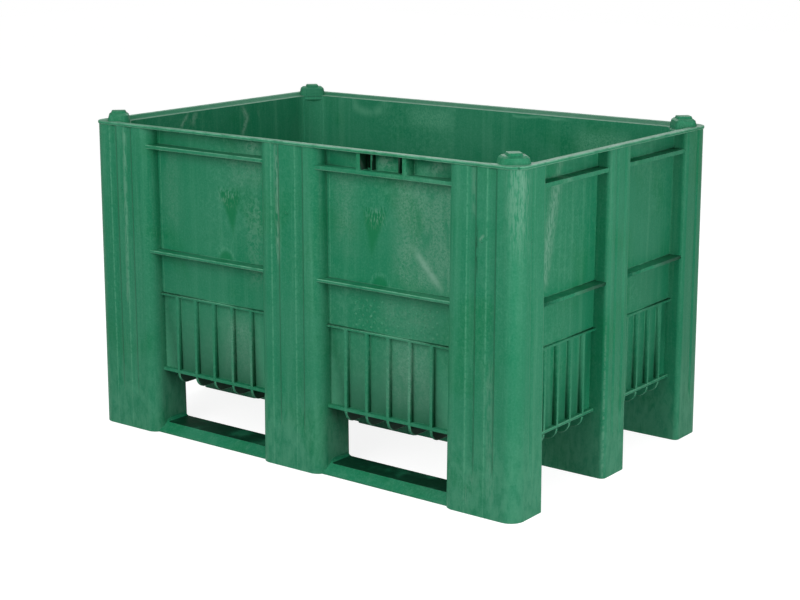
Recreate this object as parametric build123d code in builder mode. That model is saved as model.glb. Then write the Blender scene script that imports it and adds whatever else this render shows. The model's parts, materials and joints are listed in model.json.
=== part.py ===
"""A plastic pallet box: an open tub with ribbed walls and hollow posts, on three runners.

X runs along the long side, Y across it and Z up. The origin is on the ground, under the middle of the box.
Front is -Y, rear is +Y, left is -X and right is +X. Most pieces are modelled once, in the front right
quarter, and mirrored.
"""
import os
from math import atan2, degrees

from build123d import *

# Driving dimensions, in millimetres
length = 1200  # over the rim
width = 800  # over the rim
rim_top = 736  # level top of the rim
rim_edge = 7  # height of the rim's outer edge
rim_flat = 16  # level part of the rim, before it falls into the tub
rim_overhang = 2.4  # the rim stands out this far from the tops of the posts
rim_corner = 36  # outer corners of the rim

wall = 7  # tub walls and floor
post_wall = 8  # walls of the hollow posts and feet
panel_recess = 33  # wall panels behind the faces of the posts
inner_corner = 60  # upright inner corners of the tub
tub_draft = 15  # the lower walls come in by this much at the floor

post_lean = 3.7  # the sides of the posts and feet stand out this much more at the ground than at the rim
corner_post_long = 177  # corner post at the rim, measured on the long side
middle_post_long = 170  # middle post of a long side, at the rim
corner_post_short = 101  # corner post at the rim, measured on the short side
middle_post_short = 88  # middle post of a short side, at the rim
outer_corner = 33  # upright outer corners of the box
long_round = 28  # other outer edges of the posts on the long sides
short_round = 6  # and on the short sides
leg_round = 10  # inner upright edges of the feet
hollow_bevel = 15  # flats across the corners inside the posts and feet

flute_depth = 2.4  # shallow flutes down the faces of the posts
long_flute = 24  # width of a flute on the long sides
short_flute = 15  # width of a flute on the short sides
flute_foot = 85  # the flutes start at this height
flute_fade = 25  # and are at full depth this much higher
corner_flutes = 24  # flutes from the middle of a corner post's long face
middle_flutes = 34  # flutes from the middle of a long side's middle post
short_flutes = 17  # flutes from the middle of a short side's middle post

floor_top = 158
deck_bottom = 124  # underside of the ribs below the floor
rib_thick = 7
rib_recess = 26  # upright ribs and floor lip behind the faces of the posts
band_top = 340  # top of the ribbed band
band_ledge = 5  # thin ledge along the top of the ribbed band
long_ribs = 5  # upright ribs in a panel of a long side
long_pitch = 57.5
short_ribs = 4  # upright ribs in a panel of a short side
short_pitch = 52

shelf_recess = 5  # front edges of the two shelves behind the faces of the posts
middle_shelf = 437  # underside of the shelf half way up the wall
middle_shelf_thick = 7
upper_shelf = 682  # underside of the shelf below the rim
upper_shelf_thick = 9

tie_rib = 60  # outer ribs of the tie slots, from the middle of their panel
tie_rib_thick = 10
tie_fin = 36  # inner fins of the tie slots, from the middle of their panel
tie_fin_thick = 5
tie_fin_recess = 20  # front edges of the fins behind the faces of the posts
tie_slot_margin = 3  # wall left above and below each slot

rail_recess = 12  # outer bottom edge of the rails behind the faces of the feet
rail_lip = 4  # upright part of that edge
rail_height = 21
rail_ramp = 22  # depth of the sloping outer side
rail_inset = 5  # other sides of the rails, inside the sides of the feet
rail_round = 10  # hollow rounding on top, where a rail runs into a foot

stud_inset = 45  # middle of a stacking stud from both sides of the box
stud_across = 65
stud_along = 52  # along the corner's diagonal
stud_height = 16  # up to the shoulders
stud_corner = 9  # flats across its corners
stud_bevel = 3.6  # second bevels beside those flats
stud_draft = 15  # the sides lean in by this angle, in degrees
shoulder_slope = 4  # sloping edge of the shoulders
cap_across = 33
cap_along = 36
cap_height = 5.5
cap_corner = 4
cap_bevel = 1.6
cap_draft = 24  # in degrees
corbel_height = 18  # the tub's corner swells out under a stud over this height
corbel_slope = 9  # sloping underside of that swelling

# Positions that follow, those of the posts and bays at the rim
post_x = length / 2 - rim_overhang
post_y = width / 2 - rim_overhang
foot_x = post_x + post_lean
foot_y = post_y + post_lean
skin_x = post_x - panel_recess
skin_y = post_y - panel_recess
inner_x = skin_x - wall
inner_y = skin_y - wall
lip_x = post_x - rib_recess
lip_y = post_y - rib_recess
rim_under = rim_top - rim_edge
lean = degrees(atan2(post_lean, rim_under))
floor_under = floor_top - wall
lip_gap = post_lean * (1 - floor_under / rim_under)
leg_x = post_x - corner_post_long
leg_y = post_y - corner_post_short
bay_x = (middle_post_long / 2, leg_x)
bay_y = (-leg_y, -middle_post_short / 2)
bay_middle_x = sum(bay_x) / 2
bay_middle_y = sum(bay_y) / 2
long_rib_places = [bay_middle_x + (i - (long_ribs - 1) / 2) * long_pitch for i in range(long_ribs)]
short_rib_places = [bay_middle_y + (i - (short_ribs - 1) / 2) * short_pitch for i in range(short_ribs)]
stud_x = length / 2 - stud_inset
stud_y = width / 2 - stud_inset

os.makedirs("parts", exist_ok=True)


def mirrored(piece, planes):
    """A piece's solid, mirrored about each plane in turn."""
    image = piece.part
    for plane in planes:
        image = image.mirror(plane)
    return image


def save(images):
    """Write pieces or their mirror images: each has a name, a piece and the planes it is mirrored about."""
    for name, piece, planes in images:
        with BuildPart() as finished:
            add(mirrored(piece, planes))
        finished.part.label = name
        export_step(finished.part, f"parts/{name}.step")


def quarters(name, piece):
    """A front right piece and its three mirror images, with the place filled into each name."""
    return [
        (name.format(end="front", side="right"), piece, []),
        (name.format(end="front", side="left"), piece, [Plane.YZ]),
        (name.format(end="rear", side="right"), piece, [Plane.XZ]),
        (name.format(end="rear", side="left"), piece, [Plane.YZ, Plane.XZ]),
    ]


def tub_form(grow):
    """The tub's inside, grown outwards all round: the walls lean in from the ribbed band to the floor."""
    size = (2 * (inner_x + grow), 2 * (inner_y + grow))
    with BuildPart() as form:
        with BuildSketch(Plane.XY.offset(band_top)):
            Rectangle(*size)
        extrude(amount=floor_top - band_top, taper=degrees(atan2(tub_draft, band_top - floor_top)))
        with BuildSketch(Plane.XY.offset(band_top)):
            Rectangle(*size)
        extrude(amount=rim_under - band_top)
        with BuildSketch(Plane.XY.offset(floor_top)):
            RectangleRounded(*size, inner_corner + grow)
        extrude(amount=rim_under - floor_top, mode=Mode.INTERSECT)
    return form.part


tub_inside = tub_form(0)
tub_skin = tub_form(wall)

# Floor plate, which reaches out to a lip at the foot of each wall panel
with BuildPart() as floor_plate:
    with BuildSketch(Plane.XY.offset(floor_under)):
        Rectangle(2 * (skin_x - tub_draft), 2 * (skin_y - tub_draft))
    extrude(amount=wall)
    with BuildSketch(Plane.XY.offset(floor_under)):
        with GridLocations(2 * bay_middle_x, 0, 2, 1):
            Rectangle(bay_x[1] - bay_x[0] - 2 * lip_gap, 2 * lip_y)
    extrude(amount=wall, taper=-lean)
    with BuildSketch(Plane.XY.offset(floor_under)):
        with GridLocations(0, 2 * bay_middle_y, 1, 2):
            Rectangle(2 * lip_x, bay_y[1] - bay_y[0] - 2 * lip_gap)
    extrude(amount=wall, taper=-lean)


def floor_ribs(planes, reach):
    """Ribs below the floor, one in each plane, with ends that curve up to the lip."""
    drop = floor_under - deck_bottom
    with BuildPart() as ribs:
        with BuildSketch(*planes):
            with BuildLine():
                Line((-reach, floor_under), (reach, floor_under))
                CenterArc((reach - drop, floor_under), drop, 0, -90)
                Line((reach - drop, deck_bottom), (-reach + drop, deck_bottom))
                CenterArc((-reach + drop, floor_under), drop, 180, 90)
            make_face()
        extrude(amount=rib_thick / 2, both=True)
    return ribs


# Ribs under the floor, in line with those on the walls: across it in each fork bay, along it elsewhere
cross_ribs = floor_ribs([Plane.YZ.offset(place) for place in long_rib_places], lip_y)
long_rib_planes = [Plane.XZ.offset(side * place) for place in short_rib_places for side in (-1, 1)]
long_ribs_whole = floor_ribs(long_rib_planes, lip_x)
cross_from = long_rib_places[0] - rib_thick / 2
cross_to = long_rib_places[-1] + rib_thick / 2
with BuildPart() as end_ribs:
    add(long_ribs_whole.part)
    split(bisect_by=Plane.YZ.offset(cross_to))
with BuildPart() as centre_ribs:
    add(long_ribs_whole.part)
    split(bisect_by=Plane.YZ.offset(cross_from), keep=Keep.BOTTOM)
    split(bisect_by=Plane.YZ.offset(-cross_from))
save([("floor_plate", floor_plate, []), ("centre_floor_ribs", centre_ribs, [])])
save([("right_cross_ribs", cross_ribs, []), ("left_cross_ribs", cross_ribs, [Plane.YZ])])
save([("right_end_ribs", end_ribs, []), ("left_end_ribs", end_ribs, [Plane.YZ])])


def flutes(plane, places, flute_width):
    """Cutters for shallow flutes up a post's face: the plane starts on the face and its Y points out."""
    radius = (flute_width**2 / 4 + flute_depth**2) / (2 * flute_depth)
    foot = plane.offset(flute_foot)
    fade = Plane(foot.origin, foot.x_dir, foot.y_dir * flute_fade + foot.z_dir * flute_depth)
    with BuildPart() as cutters:
        with BuildSketch(foot):
            with Locations([(place, radius - flute_depth) for place in places]):
                Circle(radius)
        extrude(amount=rim_top - flute_foot)
        split(bisect_by=fade)
    return cutters.part


def leaning_block(x_range, y_range, height, inset=0):
    """A block that narrows upwards: the ranges are where its sides would be at the rim, without the inset."""
    grow = 2 * (post_lean - inset)
    with BuildPart() as block:
        with BuildSketch():
            with Locations((sum(x_range) / 2, sum(y_range) / 2)):
                Rectangle(x_range[1] - x_range[0] + grow, y_range[1] - y_range[0] + grow)
        extrude(amount=height, taper=lean)
    return block


def leaning_column(x_range, y_range, height, rounds):
    """A leaning block with rounded upright edges, given from the near left one anticlockwise."""
    near, far = y_range
    left, right = x_range
    corners = [(left, near), (right, near), (right, far), (left, far)]
    with BuildPart() as column:
        add(leaning_block(x_range, y_range, height).part)
        for corner, radius in zip(corners, rounds):
            fillet(column.edges().sort_by_distance((*corner, height / 2))[0], radius)
    return column


def hollow_form(x_range, y_range, height):
    """The hollow inside a leaning column, with flats across its corners."""
    with BuildPart() as hollow:
        add(leaning_block(x_range, y_range, height, post_wall).part)
        chamfer(hollow.edges().group_by(Axis.Z)[1], hollow_bevel)
    return hollow.part


def column_parts(x_range, y_range, rounds, cutters):
    """A hollow fluted column, cut at the floor into a foot and a post."""
    with BuildPart() as column:
        add(leaning_column(x_range, y_range, rim_under, rounds).part)
        for cutter in cutters:
            add(cutter, mode=Mode.SUBTRACT)
    with BuildPart() as hollow:
        add(hollow_form(x_range, y_range, rim_under - post_wall))
        add(tub_skin, mode=Mode.SUBTRACT)
        add(floor_plate.part, mode=Mode.SUBTRACT)
    with BuildPart() as foot:
        add(column.part)
        split(bisect_by=Plane.XY.offset(floor_top), keep=Keep.BOTTOM)
        add(floor_plate.part, mode=Mode.SUBTRACT)
        add(hollow.part, mode=Mode.SUBTRACT)
    with BuildPart() as post:
        add(column.part)
        split(bisect_by=Plane.XY.offset(floor_top), keep=Keep.TOP)
        add(tub_inside, mode=Mode.SUBTRACT)
        add(hollow.part, mode=Mode.SUBTRACT)
    return column, foot, post


# Planes on the leaning faces of the posts, with Z up and Y pointing out
front_face = Plane(origin=(0, -foot_y, 0), x_dir=(-1, 0, 0), z_dir=(0, post_lean, rim_under))
right_face = Plane(origin=(foot_x, 0, 0), x_dir=(0, -1, 0), z_dir=(-post_lean, 0, rim_under))

# Corner posts and their feet
corner_middle_x = (leg_x + post_x) / 2
corner_middle_y = (leg_y + post_y) / 2
corner_column, corner_foot, plain_corner_post = column_parts(
    (leg_x, post_x),
    (-post_y, -leg_y),
    (long_round, outer_corner, short_round, leg_round),
    [
        flutes(front_face, [-corner_middle_x - corner_flutes, -corner_middle_x + corner_flutes], long_flute),
        flutes(right_face, [corner_middle_y], short_flute),
    ],
)


def stud_outline(height, across, along, *bevels):
    """A rectangle over the front right corner, at this height, with its corners bevelled once or more."""
    with BuildSketch(Plane(origin=(stud_x, -stud_y, height), x_dir=(1, 1, 0))) as outline:
        Rectangle(across, along)
        for bevel in bevels:
            chamfer(outline.vertices(), bevel)
    return outline.sketch


# The tub's corner swells out into a corbel under each stud
with BuildPart() as corbel:
    extrude(stud_outline(rim_under, stud_across, stud_along, stud_corner), amount=-corbel_height)
    chamfer(corbel.faces().sort_by(Axis.Z)[0].edges(), corbel_slope)
    add(tub_inside, mode=Mode.INTERSECT)
with BuildPart() as corner_post:
    add(plain_corner_post.part)
    add(corbel.part)
save(quarters("{end}_{side}_foot", corner_foot))
save(quarters("{end}_{side}_post", corner_post))

# Middle posts of the long sides and their feet
front_column, front_foot, front_post = column_parts(
    (-middle_post_long / 2, middle_post_long / 2),
    (-post_y, -leg_y),
    (long_round, long_round, leg_round, leg_round),
    [flutes(front_face, [-middle_flutes, middle_flutes], long_flute)],
)
save([("front_middle_foot", front_foot, []), ("rear_middle_foot", front_foot, [Plane.XZ])])
save([("front_middle_post", front_post, []), ("rear_middle_post", front_post, [Plane.XZ])])

# Middle posts of the short sides and their feet
right_column, right_foot, right_post = column_parts(
    (leg_x, post_x),
    (-middle_post_short / 2, middle_post_short / 2),
    (leg_round, short_round, short_round, leg_round),
    [flutes(right_face, [-short_flutes, short_flutes], short_flute)],
)
save([("right_middle_foot", right_foot, []), ("left_middle_foot", right_foot, [Plane.YZ])])
save([("right_middle_post", right_post, []), ("left_middle_post", right_post, [Plane.YZ])])

# Foot under the middle of the floor
centre_x = (-middle_post_long / 2, middle_post_long / 2)
centre_y = (-middle_post_short / 2, middle_post_short / 2)
centre_column = leaning_column(centre_x, centre_y, floor_under, [leg_round] * 4)
with BuildPart() as centre_foot:
    add(centre_column.part)
    add(hollow_form(centre_x, centre_y, floor_under), mode=Mode.SUBTRACT)
save([("centre_foot", centre_foot, [])])


def wall_ribs(bay, face, places):
    """Shelves, ledge and upright ribs of a panel that faces -Y, running back past the tub's wall."""
    middle = sum(bay) / 2
    span = bay[1] - bay[0]
    back = (Align.CENTER, Align.MIN)
    with BuildPart() as ribs:
        for underside, thick in ((middle_shelf, middle_shelf_thick), (upper_shelf, upper_shelf_thick)):
            with BuildSketch(Plane.XY.offset(underside)):
                with Locations((middle, shelf_recess - face)):
                    Rectangle(span + 2 * long_round, panel_recess, align=back)
            extrude(amount=thick)
        with BuildSketch(Plane.XY.offset(band_top - band_ledge)):
            with Locations((middle, rib_recess - face)):
                Rectangle(span, panel_recess - rib_recess + wall, align=back)
        extrude(amount=band_ledge)
        with BuildSketch(Plane.XY.offset(floor_top)):
            with Locations([(place, rib_recess - face) for place in places]):
                Rectangle(rib_thick, panel_recess - rib_recess + tub_draft + wall, align=back)
        extrude(amount=band_top - floor_top)
    return ribs.part


# Plain panel of a long side: the tub's wall between two posts, with its ribs
with BuildPart() as long_panel:
    with BuildSketch(Plane.XY.offset(floor_top)):
        with Locations((bay_middle_x, -post_y)):
            Rectangle(bay_x[1] - bay_x[0], post_y, align=(Align.CENTER, Align.MIN))
    extrude(amount=rim_under - floor_top)
    add(tub_skin, mode=Mode.INTERSECT)
    add(wall_ribs(bay_x, post_y, long_rib_places))
    add(tub_inside, mode=Mode.SUBTRACT)
    add(corner_column.part, mode=Mode.SUBTRACT)
    add(front_column.part, mode=Mode.SUBTRACT)

# The front right panel also has two slots for ties below the rim, between ribs
shelf_top = upper_shelf + upper_shelf_thick
slot_from = tie_fin + tie_fin_thick / 2
slot_to = tie_rib - tie_rib_thick / 2
slot_height = rim_under - shelf_top - 2 * tie_slot_margin
with BuildPart() as tie_panel:
    add(long_panel.part)
    with BuildSketch(Plane.XY.offset(shelf_top)):
        with Locations((bay_middle_x, shelf_recess - post_y)):
            with GridLocations(2 * tie_rib, 0, 2, 1):
                Rectangle(tie_rib_thick, panel_recess - shelf_recess, align=(Align.CENTER, Align.MIN))
        with Locations((bay_middle_x, tie_fin_recess - post_y)):
            with GridLocations(2 * tie_fin, 0, 2, 1):
                Rectangle(tie_fin_thick, panel_recess - tie_fin_recess, align=(Align.CENTER, Align.MIN))
    extrude(amount=rim_under - shelf_top)
    with BuildSketch(Plane.XZ.offset(inner_y)):
        with Locations((bay_middle_x, (shelf_top + rim_under) / 2)):
            with GridLocations(slot_from + slot_to, 0, 2, 1):
                Rectangle(slot_to - slot_from, slot_height)
    extrude(amount=wall, mode=Mode.SUBTRACT)
plain_panels = quarters("{end}_{side}_panel", long_panel)[1:]
save([("front_right_panel", tie_panel, [])] + plain_panels)

# Panels of the short sides
with BuildPart() as short_panel:
    with BuildSketch(Plane.XY.offset(floor_top)):
        with Locations((post_x, bay_middle_y)):
            Rectangle(post_x, bay_y[1] - bay_y[0], align=(Align.MAX, Align.CENTER))
    extrude(amount=rim_under - floor_top)
    add(tub_skin, mode=Mode.INTERSECT)
    add(wall_ribs(bay_y, post_x, short_rib_places).rotate(Axis.Z, 90))
    add(tub_inside, mode=Mode.SUBTRACT)
    add(corner_column.part, mode=Mode.SUBTRACT)
    add(right_column.part, mode=Mode.SUBTRACT)
save(quarters("{side}_{end}_panel", short_panel))


def rail(section, columns):
    """A rail along a bay on the right, from its section in the YZ plane, fitted to the feet at its ends."""
    ends = (bay_x[0] - long_round, bay_x[1] + long_round)
    clear_span = bay_x[1] - bay_x[0] - 2 * post_lean
    with BuildPart() as bar:
        with BuildSketch(Plane.YZ.offset(ends[0])):
            with BuildLine():
                Polyline(*section, close=True)
            make_face()
        extrude(amount=ends[1] - ends[0])
        with BuildSketch(Plane.XZ):
            with Locations((bay_middle_x, rail_height + 2 * rail_round)):
                RectangleRounded(clear_span, 4 * rail_round, rail_round)
        extrude(amount=width, both=True, mode=Mode.SUBTRACT)
        for column in columns:
            add(column.part, mode=Mode.SUBTRACT)
    return bar


# Front and rear rails, which slope on their outer side
gusset_top = rail_height + rail_round
rail_edge = foot_y - rail_recess
slope_back = rail_ramp * (gusset_top - rail_lip) / (rail_height - rail_lip)
outer_section = [
    (-rail_edge, 0),
    (-rail_edge, rail_lip),
    (-rail_edge + slope_back, gusset_top),
    (-leg_y - rail_inset, gusset_top),
    (-leg_y - rail_inset, 0),
]
save(quarters("{end}_{side}_rail", rail(outer_section, [front_column, corner_column])))

# Middle rails, with upright sides
middle_edge = middle_post_short / 2 - rail_inset
middle_section = [(-middle_edge, 0), (-middle_edge, gusset_top), (middle_edge, gusset_top), (middle_edge, 0)]
middle_rail = rail(middle_section, [centre_column, right_column])
save([("middle_right_rail", middle_rail, []), ("middle_left_rail", middle_rail, [Plane.YZ])])

# Stacking studs, which go down through the rim and have shoulders and a cap
with BuildPart() as stud_seat:
    extrude(stud_outline(rim_under, stud_across, stud_along, stud_corner, stud_bevel), amount=rim_edge)
with BuildPart() as stud:
    extrude(
        stud_outline(rim_top, stud_across, stud_along, stud_corner, stud_bevel),
        amount=stud_height,
        taper=stud_draft,
    )
    chamfer(stud.faces().sort_by(Axis.Z)[-1].edges(), shoulder_slope)
    extrude(
        stud_outline(rim_top + stud_height, cap_across, cap_along, cap_corner, cap_bevel),
        amount=cap_height,
        taper=cap_draft,
    )
    add(stud_seat.part)
save(quarters("{end}_{side}_stud", stud))

# Rim: a flange that falls into the tub, with room for the studs at its corners
flange = length / 2 - inner_x
with BuildPart() as rim:
    with BuildSketch(Plane.XY.offset(rim_under)):
        RectangleRounded(length, width, rim_corner)
    extrude(amount=rim_edge)
    with BuildSketch(Plane.XY.offset(rim_under)):
        RectangleRounded(2 * inner_x, 2 * inner_y, inner_corner)
    extrude(amount=rim_edge, taper=-degrees(atan2(flange - rim_flat, rim_edge)), mode=Mode.SUBTRACT)
    for _, seat, planes in quarters("{end}_{side}_seat", stud_seat):
        add(mirrored(seat, planes), mode=Mode.SUBTRACT)


def rim_side(corners):
    """One side of the rim, cut at the mitres of its corners."""
    with BuildPart() as side:
        add(rim.part)
        with BuildSketch(Plane.XY.offset(rim_under)):
            with BuildLine():
                Polyline(*corners, close=True)
            make_face()
        extrude(amount=rim_edge, mode=Mode.INTERSECT)
    return side


mitre_end = (length - width) / 2
front_rim = rim_side(
    [(-length / 2, -width / 2), (length / 2, -width / 2), (mitre_end, 0), (-mitre_end, 0)]
)
right_rim = rim_side([(length / 2, -width / 2), (length / 2, width / 2), (mitre_end, 0)])
save([("front_rim", front_rim, []), ("rear_rim", front_rim, [Plane.XZ])])
save([("right_rim", right_rim, []), ("left_rim", right_rim, [Plane.YZ])])
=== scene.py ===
"""A green plastic pallet box on a white floor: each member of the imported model, refined and finished.

Sizes are in metres, in the model's frame: X along the long side, Y to the rear, Z up. Every finished piece
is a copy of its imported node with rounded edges, and the finishes run on from piece to piece, because the
real box is one moulding. Small raised marks of the mould are added on top.
"""
import json
from math import cos, hypot, pi, radians, sin

import bmesh
import bpy
from mathutils import Matrix, Vector
from mathutils.bvhtree import BVHTree


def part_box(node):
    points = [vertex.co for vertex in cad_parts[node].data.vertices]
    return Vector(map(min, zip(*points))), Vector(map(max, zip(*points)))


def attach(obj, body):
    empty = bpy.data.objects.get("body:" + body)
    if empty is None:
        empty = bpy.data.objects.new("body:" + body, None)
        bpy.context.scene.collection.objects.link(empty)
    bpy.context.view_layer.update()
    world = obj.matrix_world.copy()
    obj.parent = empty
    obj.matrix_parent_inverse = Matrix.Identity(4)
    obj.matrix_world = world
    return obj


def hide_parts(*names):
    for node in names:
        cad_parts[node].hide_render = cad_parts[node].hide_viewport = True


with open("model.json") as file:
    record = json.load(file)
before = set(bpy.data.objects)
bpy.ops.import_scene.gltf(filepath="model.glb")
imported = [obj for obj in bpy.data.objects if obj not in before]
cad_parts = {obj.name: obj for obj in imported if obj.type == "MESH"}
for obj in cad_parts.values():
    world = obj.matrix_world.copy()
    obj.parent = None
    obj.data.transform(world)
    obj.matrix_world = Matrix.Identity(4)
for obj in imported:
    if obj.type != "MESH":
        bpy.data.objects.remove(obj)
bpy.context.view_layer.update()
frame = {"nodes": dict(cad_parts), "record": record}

mm = 0.001

# Camera, fitted to the rim and the feet in the photograph, which is 800 pixels wide
image_width = 800
focal_pixels = 1680.0
sensor_width = 36
camera_azimuth = radians(36.96)
camera_elevation = radians(13.47)
camera_distance = 3.997
camera_target = Vector((0, 0, 0.370))
camera_pan = (0.0056, -0.0578)

# Lights: sky and floor levels, the floor's reach from the middle and its drop under the feet, and softboxes
# to the right, high and low in front, overhead and behind
sky_level = 0.36
floor_glow = 0.88
floor_shade = 0.34
floor_bounce = 0.06
floor_half = 12.0
floor_drop = 0.2 * mm
softboxes = {
    "right_softbox": dict(azimuth=75, elevation=8, distance=2.1, size=0.9, power=17),
    "front_softbox": dict(azimuth=0, elevation=30, distance=3.2, size=2.0, power=41),
    "low_softbox": dict(azimuth=5, elevation=8, distance=3.2, size=2.0, power=17),
    "top_softbox": dict(azimuth=50, elevation=75, distance=3.2, size=2.0, power=15),
    "rear_softbox": dict(azimuth=205, elevation=40, distance=3.2, size=2.0, power=38),
}

# Mesh work
weld_gap = 0.01 * mm
flat_angle = radians(0.4)
sharp_angle = radians(35)
crease_angle = radians(14)
touch_gap = 0.25 * mm
probe_step = 1.0 * mm
probe_lift = 0.1 * mm
probe_shares = (0.1, 0.3, 0.5, 0.7, 0.9)
edge_round = 1.9 * mm
rim_round = 2.2 * mm
fillet_round = 1.8 * mm

# Ribbed bands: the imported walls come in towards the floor, and the finished ones stand upright, one step back
band_top = 0.340
band_under = 0.336
band_foot = 0.158
band_draft = 15 * mm
band_step = 4 * mm
long_wall = 0.3646
short_wall = 0.5646

# Upright edges of the posts and feet on the short sides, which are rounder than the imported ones
post_head = 0.729
post_lean = 3.7 * mm
short_face = 0.5976
middle_side = 0.044
corner_side = 0.2966
packed_round = 6 * mm
round_gain = 2.0
shape_gap = 0.1 * mm

# Flutes down the posts of the long sides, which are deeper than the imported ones: their middles and half width
long_face = 0.3976
flutes = (0.034, 0.4851, 0.5331)
flute_half = 13 * mm
packed_flute = 2.4 * mm
flute_gain = 1.6

# Tie slots: dark plates of painted shade behind them, against the sides of the stated openings
slot_margin = 1.0 * mm
slot_front = 0.3628
slot_back = 0.3580

# Raised dots on the front right panel, below its middle shelf
dot_columns = 11
dot_rows = 6
dot_pitch = 0.0205
dot_row_pitch = 0.0118
dot_middle = (0.270, 0.379)
dot_radius = 3.0 * mm
dot_height = 0.8 * mm
dot_jitter = 0.8 * mm
dot_seed = 4
dot_segments = 12
dot_rings = 8

# Gate nubs on the posts' outer faces: places along the long and the short sides, then radii and heights in mm
nub_height = 0.582
nub_places = {"left": -0.510, "middle": 0.0, "right": 0.510}
end_nub = 0.347
nub_segments = 16
nub_profile = [(4.8, -0.6), (4.4, 0.7), (3.6, 1.3), (2.4, 1.4), (1.5, 0.5), (0.0, 0.2)]

# Streaky noise: how often it repeats in a metre along X, Y and Z
flow_stretch = (46, 46, 1.7)
fibre_stretch = (250, 250, 16)
fleck_stretch = (260, 0, 75)
drift_stretch = (34, 34, 14)
crease_stretch = (14, 0, 0)
panel_fibre_stretch = (230, 230, 70)
post_fibre_stretch = (230, 230, 45)
dust_stretch = (60, 60, 25)

# Skins of the walls: at these distances from the middle, a wall's outer and inner faces part
long_skin = 0.3592
short_skin = 0.5592
skin_blur = 0.5 * mm
middle_blur = 10 * mm

# Gate marks on the outside of the long panels, alike on both sides of a line near the middle: a wedge that
# leans and widens up to a ragged top, a burst of flecks there, and a small arch on the shelf below
panel_mirror = 0.008
wedge_place = 0.197
wedge_tip = 0.498
wedge_top = 0.603
wedge_slope = 0.35
wedge_lean = 0.09
wedge_soft = (-3 * mm, 12 * mm)
ragged_reach = 0.12
ragged_lift = (0.065, 0.050)
burst_place = (0.008, wedge_top - 0.014)
burst_half = (0.045, 0.034)
arch_place = 0.221
arch_foot = 0.444
arch_radius = 0.025
arch_soft = 12 * mm
arch_line = 7 * mm

# Marks on the front panels, in x and z: a diagonal scuff by its ends, half width and fade, an upright mottled
# strip by its corners, and blotches under the rim by their middles and half sizes
panel_scuff = ((0.322, 0.530), (0.384, 0.462), 0.014, 0.025)
mottled_strip = ((-0.147, 0.395), (-0.102, 0.585))
strip_fade = (0.014, 0.03)
blotches = [(-0.128, 0.711), (0.377, 0.710), (0.245, 0.712)]
blotch_half = (0.03, 0.024)

# Pale leathery patches on the front panels, and one painted sheen: low and high corners in x and z, and
# strength
pale_patches_and_sheen = [
    ((0.27, 0.45), (0.43, 0.68), 0.45),
    ((0.11, 0.50), (0.16, 0.68), 0.3),
    ((0.25, 0.18), (0.36, 0.33), 0.7),
    ((-0.23, 0.16), (-0.13, 0.31), 0.6),
    ((-0.20, 0.62), (-0.10, 0.69), 0.3),
    # A painted sheen on the left panel
    ((-0.40, 0.50), (-0.36, 0.68), 0.25),
    ((0.24, 0.36), (0.36, 0.42), 0.35),
]
patch_fade = (0.03, 0.03)

# Painted light: the ribbed bands' back walls grow paler towards the floor between these heights, and thin
# painted highlights run beside the posts
band_painted_light = (0.38, 0.15)
panel_sides = (0.0925, 0.4135)
panel_highlight = 2.5 * mm

# Painted shade beside the tie slots: its heights, the depths where it sets in, and the flanks and wall that it
# covers
slot_rows = (0.692, 0.728)
slot_depths = (-0.3655, -0.3670)
shaded_slot_flanks = (0.1890, 0.3145)
shaded_slot_wall = (0.2866, 0.2911)

# Painted reflections inside the rear wall, in x and z: on a bowl-shaped dent, in patches and along a wavy
# crease under the rim
bowl_middle = (-0.365, 0.735)
bowl_half = (0.060, 0.038)
bowl_line = 0.5
rear_sheen_patches = [((-0.23, 0.67), (-0.10, 0.72)), ((0.27, 0.64), (0.42, 0.70))]
rear_sheen_fade = (0.03, 0.02)
crease_height = 0.733
crease_half = 6 * mm
crease_range = (-0.09, 0.24)
crease_fade = 0.03
crease_wave = 0.02

# Scuffs on the right side's panels and wisps inside the left wall: y and z of both ends, half width, strength
right_scuffs = [
    ((-0.205, 0.690), (-0.255, 0.470), 0.032, 0.6),
    ((-0.188, 0.728), (-0.206, 0.694), 0.014, 0.5),
    ((0.066, 0.676), (0.062, 0.590), 0.030, 0.5),
]
left_wisps = [
    ((-0.123, 0.722), (-0.150, 0.690), 0.008, 0.75),
    ((-0.093, 0.722), (-0.108, 0.698), 0.014, 0.6),
    ((0.082, 0.718), (0.096, 0.694), 0.011, 0.7),
    ((0.096, 0.694), (0.078, 0.655), 0.011, 0.7),
    ((0.137, 0.712), (0.141, 0.695), 0.010, 0.25),
]

# Scuffs down the front posts: x and z of both ends, half width and strength
post_scuffs = [
    ((-0.030, 0.728), (-0.028, 0.473), 0.012, 0.55),
    ((-0.496, 0.722), (-0.501, 0.315), 0.008, 0.35),
    ((0.487, 0.728), (0.489, 0.630), 0.009, 0.25),
    ((0.529, 0.330), (0.540, 0.030), 0.022, 0.2),
    ((0.500, 0.090), (0.470, 0.012), 0.020, 0.25),
]

# Other marks on the posts: where their outer faces begin, a painted highlight and painted shade along a flute's
# edges by offset and half width, a groove, a slash and a hazy corner on the front right post, worn edges with a
# painted highlight, and dust low down
long_face_start = (0.385, 0.390)
short_face_start = (0.592, 0.597)
lit_flute_edge = (-11.5 * mm, 3 * mm)
shaded_flute = (10 * mm, 5 * mm)
flute_start = (0.085, 0.120)
post_groove = ((0.4975, 0.605), (0.4975, 0.505), 0.006)
post_slash = ((0.505, 0.582), (0.515, 0.593), 0.005, 0.004)
hazy_corner = ((0.555, 0.585), (-0.35, -0.38), (0.50, 0.68))
worn_lit_edge = (0.0448, 3.5 * mm)
dust_range = (0.26, 0.06)

# Painted shade below the floor, which sets in behind the ribs' fronts and away from the ends, and the pale foot
# of the rim's slope
rib_front = (0.355, 0.350)
rib_inboard = (0.56, 0.42)
pale_foot = (post_head + 2.4 * mm, post_head + 0.8 * mm)


def srgb(red, green, blue):
    """A colour given in 8-bit display values, as the linear colour that a shader takes."""
    return tuple((value / 255) ** 2.2 for value in (red, green, blue)) + (1.0,)


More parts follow.
